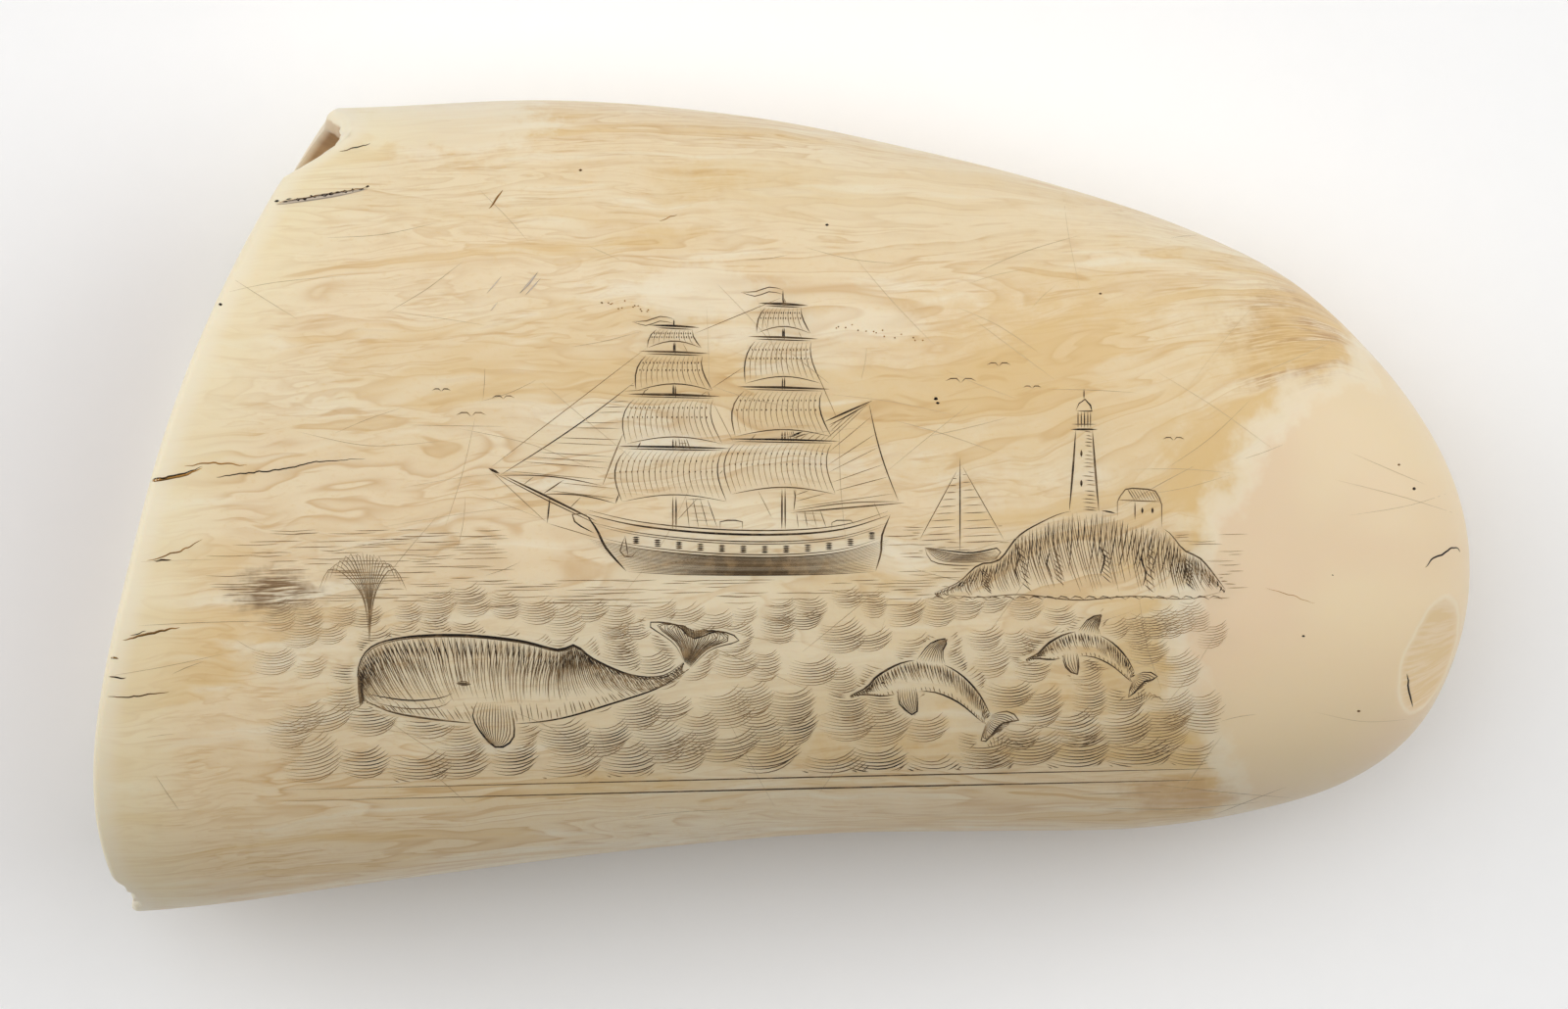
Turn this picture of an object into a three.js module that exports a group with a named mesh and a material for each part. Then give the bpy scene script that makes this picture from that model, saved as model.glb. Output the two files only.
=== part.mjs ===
// A sperm whale's tooth, sawn off at the root, polished and lying on its broad side.
// Millimetres, +Z up. +X runs from the sawn root to the blunt tip, +Y to the convex edge,
// and the engraved broad side faces up. The origin is on the floor under the middle.
// The tooth is one piece: solid at the tip, with the open cone of the pulp cavity at the root.
import * as THREE from 'three';

// Overall sizes.
const LENGTH = 151.6;
const WIDTH = 88.8;
const ROOT_THICKNESS = 50;

// The pulp cavity and the sawn rim round its mouth.
const CAVITY_DEPTH = 58;
const CONVEX_EDGE_WALL = 2.6;
const CONCAVE_EDGE_WALL = 5.2;
const BROAD_SIDE_WALL = 5.4;
const RIM_ROUNDING = 0.9;
const RIM_BOW = 8.1; // how far the middle of the sawn rim bulges beyond its two ends
const RIM_SLANT = 3; // how far the saw cut leans out under the convex edge

// Two chips broken out of the rim: a scallop by the convex edge and a nick at the concave one.
const SCALLOP_DEPTH = 3.5;
const NICK_DEPTH = 1.2;

// Two flats: the facet worn on the tip, and the small flat spot that the tooth lies on.
const WEAR_DEPTH = 0.9;
const FLAT_SPOT_DEPTH = 0.45;

// The free form: heights of the two edges at even stations from root to tip, as shares of WIDTH.
const CONVEX_EDGE = [0.49, 0.5, 0.4805, 0.4395, 0.3935, 0.342, 0.279, 0.1915, 0.1015, 0.0123];
const TIP_HEIGHT = -0.0797;
const CONCAVE_EDGE = [-0.5, -0.462, -0.4275, -0.4062, -0.403, -0.3995, -0.377, -0.3395, -0.2765, -0.1815];
// Where the edges start and where they meet, as shares of LENGTH from the middle.
const CONVEX_EDGE_START = -0.3185;
const CONCAVE_EDGE_START = -0.4635;
const TIP_END = 0.5;
// Thickness over width at even stations, against the same at the root.
const FULLNESS = [1, 1.01, 1.02, 1.04, 1.06, 1.09, 1.13, 1.17, 1.2, 1.22, 1.23];
const SIDE_FLATNESS = 2.7; // exponent of the section: 2 is an ellipse, more is flatter on the broad sides
const CAVITY_FLATNESS = 2.2;
const CAVITY_TAPER = 0.85; // exponent of the cavity's profile: 1 is a straight cone
const BOW_EXPONENTS = { convex: 2, concave: 4 }; // how fast the rim's bow dies away to each edge
const REACH_FADE = { skin: 4, cavity: 3 }; // how fast the rim's bow and chips die away along each wall
const REST_STATIONS = [0.06, 0.42]; // the underside touches the floor at these two stations
const WEAR_NORMAL = new THREE.Vector3(0.78, -0.27, 0.56).normalize();

// Where the chips lie, as angles round the section from the convex edge over the engraved side.
const SCALLOP = { peak: 0.4, rise: 0.26, fall: 0.21 };
const NICK = { peak: Math.PI - 0.26, rise: 0.16, fall: 0.2 };

// Mesh steps.
const AROUND = 80;
const OUTER_ROWS = 36;
const CAVITY_ROWS = 8;
const CAVITY_ROW_CROWDING = 1.3; // 1 is even, more crowds the cavity's rows at the mouth
const ROUNDING_ROWS = 2;

const mix = (a, b, t) => a + (b - a) * t;

// A smooth curve through evenly spaced values, read at 0 to 1 (uniform Catmull-Rom).
function through(values, t) {
  const span = values.length - 1;
  const i = Math.min(Math.floor(t * span), span - 1);
  const f = t * span - i;
  const [p0, p1, p2, p3] = [i - 1, i, i + 1, i + 2].map((k) => values[Math.min(Math.max(k, 0), span)]);
  const v0 = (p2 - p0) / 2;
  const v1 = (p3 - p1) / 2;
  return p1 + v0 * f + (3 * (p2 - p1) - 2 * v0 - v1) * f ** 2 + (2 * (p1 - p2) + v0 + v1) * f ** 3;
}

// Both edges are one outline, so that it rounds the tip without a corner.
const OUTLINE = [...CONVEX_EDGE, TIP_HEIGHT, ...CONCAVE_EDGE.toReversed()];

// A point of an edge at a station, from 0 at the root to 1 at the tip. Stations crowd at the tip.
function edgePoint(station, start, isConvex) {
  const x = mix(TIP_END, start, (1 - station) ** 2) * LENGTH;
  const y = through(OUTLINE, isConvex ? station / 2 : 1 - station / 2) * WIDTH;
  return new THREE.Vector2(x, y);
}

// The chord between the two edges at a station: its middle and its half, towards the convex edge.
function chordAt(station) {
  const convex = edgePoint(station, CONVEX_EDGE_START, true);
  const concave = edgePoint(station, CONCAVE_EDGE_START, false);
  return {
    middle: convex.clone().add(concave).multiplyScalar(0.5),
    half: convex.clone().sub(concave).multiplyScalar(0.5),
  };
}

const ROOT = chordAt(0);

function halfThickness(station) {
  const narrowing = chordAt(station).half.length() / ROOT.half.length();
  return (ROOT_THICKNESS / 2) * narrowing * through(FULLNESS, station);
}

// The middle plane is straight, and tilts so that the underside is level at both rest stations.
const RESTS = REST_STATIONS.map((station) => ({ x: chordAt(station).middle.x, z: halfThickness(station) }));

function middleHeight(x) {
  const [near, far] = RESTS;
  return mix(near.z, far.z, (x - near.x) / (far.x - near.x));
}

// A chip's outline along the rim: 1 at its peak, and 0 from its two ends on.
function chip(angle, { peak, rise, fall }) {
  const away = angle - peak;
  return Math.cos((Math.PI / 2) * Math.min(1, Math.abs(away) / (away < 0 ? rise : fall)));
}

// How far the rim lies beyond the straight chord at an angle round the section, less the chips.
function rimReach(angle) {
  const across = Math.cos(angle);
  const bow = 1 - Math.abs(across) ** (across > 0 ? BOW_EXPONENTS.convex : BOW_EXPONENTS.concave);
  const slant = (Math.max(-Math.sin(angle), 0) * (1 + across)) / 2;
  const chips = SCALLOP_DEPTH * chip(angle, SCALLOP) + NICK_DEPTH * chip(angle, NICK);
  return RIM_BOW * bow + RIM_SLANT * slant - chips;
}

// A point of a section: an oval with flattened broad sides, square to the floor along its half chord.
function sectionPoint(middle, half, thickness, flatness, angle) {
  const across = Math.cos(angle);
  const up = Math.sign(Math.sin(angle)) * Math.sqrt(1 - Math.abs(across) ** flatness);
  const z = middleHeight(middle.x) + thickness * up;
  return new THREE.Vector3(middle.x + half.x * across, middle.y + half.y * across, z);
}

// The outer skin at a station, set in and pushed out at the rim. The rim's reach dies away to the tip.
function skinPoint(station, angle, inset = 0, proud = 0) {
  const { middle, half } = chordAt(station);
  const chord = half.clone().setLength(half.length() - inset);
  const p = sectionPoint(middle, chord, halfThickness(station) - inset, SIDE_FLATNESS, angle);
  p.x -= rimReach(angle) * (1 - station) ** REACH_FADE.skin + proud;
  return p;
}

// The cavity's wall, from the mouth at depth 0 to its point at depth 1. The mouth can be widened.
function cavityPoint(depth, angle, wider = 0, proud = 0) {
  const shift = (CONCAVE_EDGE_WALL - CONVEX_EDGE_WALL) / 2;
  const edgeWall = (CONCAVE_EDGE_WALL + CONVEX_EDGE_WALL) / 2;
  const mouth = ROOT.middle.clone().add(ROOT.half.clone().setLength(shift));
  const axis = chordAt(0.5).middle.sub(mouth).setLength(CAVITY_DEPTH);
  const taper = (1 - depth) ** CAVITY_TAPER;
  const chord = ROOT.half.clone().setLength((ROOT.half.length() - edgeWall) * taper + wider);
  const thickness = (ROOT_THICKNESS / 2 - BROAD_SIDE_WALL) * taper + wider;
  const p = sectionPoint(mouth.addScaledVector(axis, depth), chord, thickness, CAVITY_FLATNESS, angle);
  p.x -= rimReach(angle) * (1 - depth) ** REACH_FADE.cavity + proud;
  return p;
}

// The rows of the closed surface, from the tip over the skin and the rim into the cavity.
function toothRows() {
  const rows = [];
  for (let k = 1; k <= OUTER_ROWS; k++) {
    const station = 1 - Math.cos((Math.PI / 2) * (1 - k / OUTER_ROWS));
    rows.push((angle) => skinPoint(station, angle));
  }
  for (let k = 1; k <= ROUNDING_ROWS; k++) {
    const turn = ((Math.PI / 2) * k) / ROUNDING_ROWS;
    const inset = RIM_ROUNDING * (1 - Math.cos(turn));
    const proud = RIM_ROUNDING * Math.sin(turn);
    rows.push((angle) => skinPoint(0, angle, inset, proud));
  }
  rows.push((angle) => cavityPoint(0, angle, RIM_ROUNDING / 2, RIM_ROUNDING));
  for (let k = 0; k < CAVITY_ROWS; k++) {
    rows.push((angle) => cavityPoint((k / CAVITY_ROWS) ** CAVITY_ROW_CROWDING, angle));
  }
  return rows;
}

// Rows of points between two poles, joined into one closed surface with its faces outwards.
function closedSurface(rows, firstPole, lastPole) {
  const points = [firstPole];
  for (const row of rows) {
    for (let k = 0; k < AROUND; k++) points.push(row((2 * Math.PI * k) / AROUND));
  }
  points.push(lastPole);
  const at = (row, k) => 1 + row * AROUND + (k % AROUND);
  const lastRow = rows.length - 1;
  const faces = [];
  for (let k = 0; k < AROUND; k++) {
    faces.push(0, at(0, k), at(0, k + 1));
    for (let row = 0; row < lastRow; row++) {
      faces.push(at(row, k), at(row + 1, k), at(row, k + 1));
      faces.push(at(row, k + 1), at(row + 1, k), at(row + 1, k + 1));
    }
    faces.push(at(lastRow, k), points.length - 1, at(lastRow, k + 1));
  }
  return new THREE.BufferGeometry().setFromPoints(points).setIndex(faces);
}

// Grinds a flat: what stands out furthest along a direction is taken back by a depth, onto one plane.
function grindFlat(geometry, normal, depth) {
  const position = geometry.getAttribute('position');
  const points = [];
  for (let i = 0; i < position.count; i++) points.push(new THREE.Vector3().fromBufferAttribute(position, i));
  const plane = Math.max(...points.map((p) => p.dot(normal))) - depth;
  points.forEach((p, i) => {
    const beyond = Math.max(p.dot(normal) - plane, 0);
    position.setXYZ(i, ...p.addScaledVector(normal, -beyond));
  });
}

const toothGeometry = closedSurface(toothRows(), skinPoint(1, 0), cavityPoint(1, 0));
grindFlat(toothGeometry, WEAR_NORMAL, WEAR_DEPTH);
grindFlat(toothGeometry, new THREE.Vector3(0, 0, -1), FLAT_SPOT_DEPTH);

// The origin goes under the middle of the tooth, on the floor.
toothGeometry.computeBoundingBox();
const centre = toothGeometry.boundingBox.getCenter(new THREE.Vector3());
toothGeometry.translate(-centre.x, -centre.y, -toothGeometry.boundingBox.min.z);
toothGeometry.computeVertexNormals();

const ivory = new THREE.MeshStandardMaterial({ color: 0xdcc8a4, roughness: 0.35, metalness: 0 });
const tooth = new THREE.Mesh(toothGeometry, ivory);
tooth.name = 'tooth';

const part = new THREE.Group();
part.add(tooth);

export default part;
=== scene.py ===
"""A scrimshaw whale tooth lying on its broad side, seen from straight above its engraved side.

Lengths are worked out in millimetres, in the frame of the CAD part: +X from the sawn root to the tip,
+Y to the convex edge, +Z up. They become metres where a mesh, the camera or a light is made.
"""

import bpy
import numpy as np
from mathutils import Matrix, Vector


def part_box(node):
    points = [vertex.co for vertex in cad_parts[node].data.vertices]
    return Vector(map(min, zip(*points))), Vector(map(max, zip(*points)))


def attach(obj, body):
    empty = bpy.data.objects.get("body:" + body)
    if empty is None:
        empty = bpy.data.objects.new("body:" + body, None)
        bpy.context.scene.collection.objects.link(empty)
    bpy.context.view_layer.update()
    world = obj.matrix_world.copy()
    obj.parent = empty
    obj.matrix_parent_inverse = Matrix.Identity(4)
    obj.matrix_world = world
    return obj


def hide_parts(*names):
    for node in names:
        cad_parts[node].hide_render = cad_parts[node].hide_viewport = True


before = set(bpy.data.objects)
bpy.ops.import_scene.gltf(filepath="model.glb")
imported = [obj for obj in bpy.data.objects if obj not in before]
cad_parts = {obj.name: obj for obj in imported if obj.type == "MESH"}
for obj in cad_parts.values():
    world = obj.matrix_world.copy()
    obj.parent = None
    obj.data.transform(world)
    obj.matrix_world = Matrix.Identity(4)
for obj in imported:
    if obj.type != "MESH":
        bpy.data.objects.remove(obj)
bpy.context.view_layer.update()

MM = 0.001
scene = bpy.context.scene


# Camera
# It looks straight down on the engraved side from a metre over the middle of the tooth's thickness.
# The picture's width there is the length of the tooth and a little more.
VIEW_WIDTH = 171.67
CAMERA_DISTANCE = 1000.0
MIDDLE_HEIGHT = 25.0
CAMERA_OFFSET = (-0.54, 0.1)

lens = bpy.data.cameras.new("camera")
lens.sensor_width = 36.0
lens.lens = lens.sensor_width * CAMERA_DISTANCE / VIEW_WIDTH
camera = bpy.data.objects.new("camera", lens)
camera.location = np.array([*CAMERA_OFFSET, MIDDLE_HEIGHT + CAMERA_DISTANCE]) * MM
scene.collection.objects.link(camera)
scene.camera = camera


# The tooth
# One sperm whale's tooth: dentine under a skin of cementum, which is ground away at the tip. It is sawn
# off at the root, where the cone of the pulp cavity is open, and scraped and polished by hand.
LENGTH = 151.6
WIDTH = 88.8
ROOT_THICKNESS = 50.0
CAVITY_DEPTH = 58.0
CONVEX_EDGE_WALL = 2.6
CONCAVE_EDGE_WALL = 5.2
BROAD_SIDE_WALL = 5.4
RIM_ROUNDING = 0.9
RIM_BOW = 8.1
RIM_SLANT = 3.0
SCALLOP_DEPTH = 3.5
NICK_DEPTH = 1.2
WEAR_DEPTH = 0.9
FLAT_SPOT_DEPTH = 0.45

# The free form, as in the part: the two edges' heights, the fullness and the exponents.
CONVEX_EDGE = [0.49, 0.5, 0.4805, 0.4395, 0.3935, 0.342, 0.279, 0.1915, 0.1015, 0.0123]
TIP_HEIGHT = -0.0797
CONCAVE_EDGE = [-0.5, -0.462, -0.4275, -0.4062, -0.403, -0.3995, -0.377, -0.3395, -0.2765, -0.1815]
OUTLINE = [*CONVEX_EDGE, TIP_HEIGHT, *reversed(CONCAVE_EDGE)]
CONVEX_EDGE_START = -0.3185
CONCAVE_EDGE_START = -0.4635
TIP_END = 0.5
FULLNESS = [1, 1.01, 1.02, 1.04, 1.06, 1.09, 1.13, 1.17, 1.2, 1.22, 1.23]
SIDE_FLATNESS = 2.7
CAVITY_FLATNESS = 2.2
CAVITY_TAPER = 0.85
BOW_TO_CONVEX, BOW_TO_CONCAVE = 2, 4
SKIN_FADE, CAVITY_FADE = 4, 3
REST_STATIONS = np.array([0.06, 0.42])
WEAR_NORMAL = np.array([0.78, -0.27, 0.56])
WEAR_NORMAL /= np.linalg.norm(WEAR_NORMAL)
SCALLOP = {"peak": 0.4, "rise": 0.26, "fall": 0.21}
NICK = {"peak": np.pi - 0.26, "rise": 0.16, "fall": 0.2}

# The mesh: points round each row, rows on each stretch, and how far the cavity's crowd at its mouth.
AROUND = 320
SKIN_ROWS = 190
ROUNDING_ROWS = 5
RIM_ROWS = 5
CAVITY_ROWS = 40
CAVITY_ROW_CROWDING = 1.2


def mix(first, last, share):
    """The value a share of the way from the first to the last."""
    return first + (last - first) * share


def through(values, share):
    """A smooth curve through evenly spaced values, read at a share of the way along them. On each span it
    is the cubic whose slopes at both ends are those of the chords over the neighbouring values."""
    values = np.asarray(values, float)
    spans = len(values) - 1
    span = np.clip(np.floor(share * spans), 0, spans - 1).astype(int)
    along = share * spans - span
    before, start, end, after = (values[np.clip(span + k, 0, spans)] for k in (-1, 0, 1, 2))
    start_slope, end_slope = (end - before) / 2, (after - start) / 2
    squared = 3 * (end - start) - 2 * start_slope - end_slope
    cubed = 2 * (start - end) + start_slope + end_slope
    return start + start_slope * along + squared * along**2 + cubed * along**3


def edge(station, start, share):
    """A point of an edge: its length goes with the square of the way left to the tip, and its height
    is read from the outline at a share of the way round it."""
    x = mix(TIP_END, start, (1 - station) ** 2) * LENGTH
    return np.stack([x, through(OUTLINE, share) * WIDTH], axis=-1)


def chord(station):
    """The middle of the line between both edges at a station, and half that line, towards +Y."""
    convex = edge(station, CONVEX_EDGE_START, station / 2)
    concave = edge(station, CONCAVE_EDGE_START, 1 - station / 2)
    return (convex + concave) / 2, (convex - concave) / 2


def size(vectors):
    """The length of each vector, never quite nothing."""
    return np.maximum(np.linalg.norm(vectors, axis=-1), 1e-6)


ROOT_MIDDLE, ROOT_HALF = chord(np.array(0.0))


def half_thickness(station):
    """Half the tooth's thickness: the root's, in step with the width, times the fullness."""
    return ROOT_THICKNESS / 2 * size(chord(station)[1]) / size(ROOT_HALF) * through(FULLNESS, station)


rest_x = chord(REST_STATIONS)[0][:, 0]
rest_z = half_thickness(REST_STATIONS)


def middle_height(x):
    """The height of the middle plane: a straight line over both stations that the tooth rests on."""
    return mix(rest_z[0], rest_z[1], (x - rest_x[0]) / (rest_x[1] - rest_x[0]))


def chip(angle, peak, rise, fall):
    """A chip's outline along the rim: a quarter cosine down from its peak to each of its ends."""
    away = angle - peak
    return np.cos(np.pi / 2 * np.minimum(1, np.abs(away) / np.where(away < 0, rise, fall)))


def rim_reach(angle):
    """How far the rim lies beyond the straight chord: its bow, and its slant under the convex edge,
    less the two chips."""
    across = np.cos(angle)
    bow = 1 - np.abs(across) ** np.where(across > 0, BOW_TO_CONVEX, BOW_TO_CONCAVE)
    slant = np.maximum(-np.sin(angle), 0) * (1 + across) / 2
    chips = SCALLOP_DEPTH * chip(angle, **SCALLOP) + NICK_DEPTH * chip(angle, **NICK)
    return RIM_BOW * bow + RIM_SLANT * slant - chips


def section(middle, half, thickness, flatness, angle):
    """A point of an oval section: along the half chord with the cosine of the angle, and up by the
    square root of what the flatness exponent leaves of it, which makes the broad sides flat."""
    across = np.cos(angle)
    up = np.sign(np.sin(angle)) * np.sqrt(1 - np.abs(across) ** flatness)
    x = middle[..., 0] + half[..., 0] * across
    y = middle[..., 1] + half[..., 1] * across
    return np.stack([x, y, middle_height(middle[..., 0]) + thickness * up], axis=-1)


def skin(station, angle, inset=0.0, proud=0.0):
    """A point of the outer skin: the section at a station, set in, and moved out at the root by the
    rim's reach, which dies away towards the tip."""
    middle, half = chord(station)
    half = half * (1 - inset / size(half))[..., None]
    points = section(middle, half, half_thickness(station) - inset, SIDE_FLATNESS, angle)
    points[..., 0] -= rim_reach(angle) * (1 - station) ** SKIN_FADE + proud
    return points


def cavity(depth, angle, wider=0.0, proud=0.0):
    """A point of the cavity's wall: an oval that tapers along a straight axis to its point."""
    towards_convex = ROOT_HALF / size(ROOT_HALF)
    edge_wall = (CONCAVE_EDGE_WALL + CONVEX_EDGE_WALL) / 2
    mouth = ROOT_MIDDLE + towards_convex * (CONCAVE_EDGE_WALL - CONVEX_EDGE_WALL) / 2
    axis = chord(np.array(0.5))[0] - mouth
    axis *= CAVITY_DEPTH / size(axis)
    taper = (1 - depth) ** CAVITY_TAPER
    half = towards_convex * ((size(ROOT_HALF) - edge_wall) * taper + wider)[..., None]
    thickness = (ROOT_THICKNESS / 2 - BROAD_SIDE_WALL) * taper + wider
    points = section(mouth + axis * depth[..., None], half, thickness, CAVITY_FLATNESS, angle)
    points[..., 0] -= rim_reach(angle) * (1 - depth) ** CAVITY_FADE + proud
    return points


def ripple(points, length):
    """Smooth unevenness between -1 and 1: three sine waves of the given length, crossed at odd angles."""
    x, y, z = np.moveaxis(points * (2 * np.pi / length), -1, 0)
    first = np.sin(x + 1.7 * np.sin(0.63 * y + 0.4 * z))
    second = np.sin(1.31 * y - 0.47 * x + 1.3 * np.sin(0.71 * z))
    third = np.sin(1.13 * z + 0.83 * y + 1.1 * np.sin(0.57 * x))
    return (first + second + third) / 3


def grind(points, normal, depth):
    """Grinds a flat: takes what stands out furthest along a direction back by a depth, to one plane.
    Gives the points and how far out the plane lies."""
    along = points @ normal
    plane = along.max() - depth
    return points - np.maximum(along - plane, 0)[..., None] * normal, plane


angle = np.linspace(0, 2 * np.pi, AROUND, endpoint=False)[None, :]
skin_station = 1 - np.cos(np.pi / 2 * (1 - np.arange(1, SKIN_ROWS + 1) / SKIN_ROWS))[:, None]
turn = (np.pi / 2 * np.arange(1, ROUNDING_ROWS + 1) / ROUNDING_ROWS)[:, None]
cavity_depth = (np.arange(CAVITY_ROWS) / CAVITY_ROWS)[:, None] ** CAVITY_ROW_CROWDING
root = np.zeros((1, 1))

skin_rows = skin(skin_station, angle)
rounding_rows = skin(root * turn, angle, RIM_ROUNDING * (1 - np.cos(turn)), RIM_ROUNDING * np.sin(turn))
rim_inside = cavity(root, angle, np.full((1, 1), RIM_ROUNDING / 2), RIM_ROUNDING)
rim_share = (np.arange(1, RIM_ROWS + 1) / RIM_ROWS)[:, None, None]
rim_rows = mix(rounding_rows[-1:], rim_inside, rim_share)
cavity_rows = cavity(cavity_depth, angle)

# The two chips have a rough broken surface: how far it stands out along each axis, and its grain size.
CHIP_ROUGHNESS = np.array([0.5, 0.2, 0.3])
CHIP_GRAIN = 1.9
chipped = (chip(angle, **SCALLOP) + chip(angle, **NICK))[..., None]
for rows in (rounding_rows, rim_rows):
    rows += CHIP_ROUGHNESS * chipped * ripple(rows, CHIP_GRAIN)[..., None]

grid = np.concatenate([skin_rows, rounding_rows, rim_rows, cavity_rows])
tip_pole = skin(np.array(1.0), np.array(0.0))
apex_pole = cavity(np.array(1.0), np.array(0.0))
tooth_points = np.concatenate([tip_pole[None], grid.reshape(-1, 3), apex_pole[None]])
raw_points = tooth_points
tooth_points, wear_plane = grind(raw_points, WEAR_NORMAL, WEAR_DEPTH)
worn_away = raw_points @ WEAR_NORMAL - wear_plane
tooth_points, _ = grind(tooth_points, np.array([0.0, 0.0, -1.0]), FLAT_SPOT_DEPTH)

# The raw form's middle goes to the middle of the CAD solid, and its flat spot to the floor.
low, high = (np.array(corner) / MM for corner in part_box("tooth"))
raw_low, raw_high = tooth_points.min(0), tooth_points.max(0)
to_place = np.append(((low + high) / 2 - (raw_low + raw_high) / 2)[:2], low[2] - raw_low[2])
tooth_points += to_place


def grid_faces(rows, around):
    """Quads between neighbouring rows of a ring grid that starts after one pole, and their windings."""
    at = 1 + np.arange(rows * around).reshape(rows, around)
    after = np.roll(at, -1, axis=1)
    return np.stack([at[:-1], at[1:], after[1:], after[:-1]], axis=-1).reshape(-1, 4)


def new_mesh(name, points, *face_groups):
    """A mesh object of points in millimetres and groups of faces, each an array with a face a row."""
    mesh = bpy.data.meshes.new(name)
    faces = [face for group in face_groups for face in group.tolist()]
    mesh.from_pydata((points * MM).tolist(), [], faces)
    mesh.polygons.foreach_set("use_smooth", np.ones(len(faces), bool))
    mesh.update()
    piece = bpy.data.objects.new(name, mesh)
    scene.collection.objects.link(piece)
    return piece


def add_attribute(piece, name, values):
    """Stores a number, or a vector, for each of a piece's points."""
    values = np.asarray(values, np.float32)
    kind, field = ("FLOAT", "value") if values.ndim == 1 else ("FLOAT_VECTOR", "vector")
    attribute = piece.data.attributes.new(name, kind, "POINT")
    attribute.data.foreach_set(field, values.ravel())


row_count = len(grid)
ring = np.arange(AROUND)
next_ring = np.roll(ring, -1)
tip_fan = np.stack([np.zeros(AROUND, int), 1 + ring, 1 + next_ring], axis=-1)
last_row = 1 + (row_count - 1) * AROUND
apex_fan = np.stack([last_row + next_ring, last_row + ring, np.full(AROUND, len(tooth_points) - 1)], axis=-1)
tooth = new_mesh("ivory_tooth", tooth_points, tip_fan, grid_faces(row_count, AROUND), apex_fan)
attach(tooth, "root")
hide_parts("tooth")

# What the colours follow. Every value is worked out for the rows and stretched to the two poles.
# The cementum ends along a wavy line: its place along X, at even angles round the section. The line
# slants, so the way straight to it is a share of the way along X.
CEMENTUM_END = [64, 62.5, 58, 51, 45.3, 42.2, 46, 49, 50, 47, 43, 41, 43, 48, 55, 61, 64]
STRAIGHT_WAY = 0.75


def for_points(rows):
    """A value for every point of the tooth, from those of the rows. The poles take the end rows'."""
    rows = np.broadcast_to(rows, (row_count, AROUND))
    return np.concatenate([rows[:1, 0], rows.ravel(), rows[-1:, 0]])


x, y, z = tooth_points.T
turns = for_points(angle / (2 * np.pi))
rim_line = grid[SKIN_ROWS - 1, :, 0] + to_place[0]
add_attribute(tooth, "past_cementum", (x - through(CEMENTUM_END, turns)) * STRAIGHT_WAY)
add_attribute(tooth, "from_rim", x - for_points(rim_line[None, :]))
add_attribute(tooth, "worn_away", worn_away)

# The cavity's brown stain tints the rim too, more so where the scallop is broken out of it.
RIM_STAIN = 0.35
SCALLOP_STAIN = 0.6
stained = np.repeat([0.0, RIM_STAIN, 1.0], [SKIN_ROWS + ROUNDING_ROWS, RIM_ROWS, CAVITY_ROWS])[:, None]
stained = stained + SCALLOP_STAIN * (stained == RIM_STAIN) * chip(angle, **SCALLOP)
add_attribute(tooth, "in_cavity", for_points(stained))

# The grain keeps to the tooth's form: it goes on down both sides, sinks a little towards the root, and
# rises towards the tip, except along the concave edge.
GRAIN_SINKING = 0.06
GRAIN_RISE = 17.0
RISE_LENGTH = 60.0
RISE_LOWEST, RISE_FULL = -22.0, 8.0
rise = np.clip(x / RISE_LENGTH, 0, 1) ** 2
rise *= np.clip((y - RISE_LOWEST) / (RISE_FULL - RISE_LOWEST), 0, 1)
fallen = grid[..., 2].max(axis=1, keepdims=True) - grid[..., 2]
down_the_sides = for_points(fallen * np.cos(angle))
across = y + down_the_sides - GRAIN_SINKING * np.minimum(x, 0) - GRAIN_RISE * rise
add_attribute(tooth, "grain", np.stack([x, across, z], axis=-1))


# Ivory
# Cementum shows marbled bands of cream, tan and ochre that run along the tooth. The ground tip shows the
# smooth, peach-coloured dentine, with a whitish wavy line between the two. All of it has a soft polish.
def srgb(red, green, blue):
    """A colour as it looks on a screen, from 0 to 255, as the linear values that a shader takes."""
    share = np.array([red, green, blue]) / 255
    return (*np.where(share <= 0.04045, share / 12.92, ((share + 0.055) / 1.055) ** 2.4), 1.0)


def add_node(tree, kind, inputs=(), **settings):
    """Adds a node, with its settings, and gives each named or numbered input a value or a link."""
    node = tree.nodes.new(kind)
    for name, value in settings.items():
        setattr(node, name, value)
    for name, value in dict(inputs).items():
        if isinstance(value, bpy.types.NodeSocket):
            tree.links.new(value, node.inputs[name])
        else:
            node.inputs[name].default_value = value
    return node


def attribute(tree, name, output="Fac"):
    """Reads an attribute of the mesh."""
    return add_node(tree, "ShaderNodeAttribute", attribute_name=name).outputs[output]


def stretched(tree, vector, scale, shift=(0, 0, 0)):
    """A vector times a scale on each axis, and moved."""
    inputs = {"Vector": vector, "Scale": scale, "Location": shift}
    return add_node(tree, "ShaderNodeMapping", inputs).outputs["Vector"]


def noise(tree, vector, scale, detail, roughness=0.5, distortion=0.0, shift=(0, 0, 0)):
    """Smooth noise from 0 to 1. Its scale is one number, or one for each axis, with a shift."""
    if isinstance(scale, tuple):
        vector, scale = stretched(tree, vector, scale, shift), 1.0
    inputs = {"Vector": vector, "Scale": scale, "Detail": detail}
    inputs |= {"Roughness": roughness, "Distortion": distortion}
    return add_node(tree, "ShaderNodeTexNoise", inputs).outputs["Fac"]


def between(tree, value, low, high, to=1.0):
    """Rises smoothly from 0, where the value is low, to its full size, where it is high."""
    inputs = {"Value": value, "From Min": low, "From Max": high, "To Max": to}
    node = add_node(tree, "ShaderNodeMapRange", inputs, interpolation_type="SMOOTHSTEP")
    return node.outputs["Result"]


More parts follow.
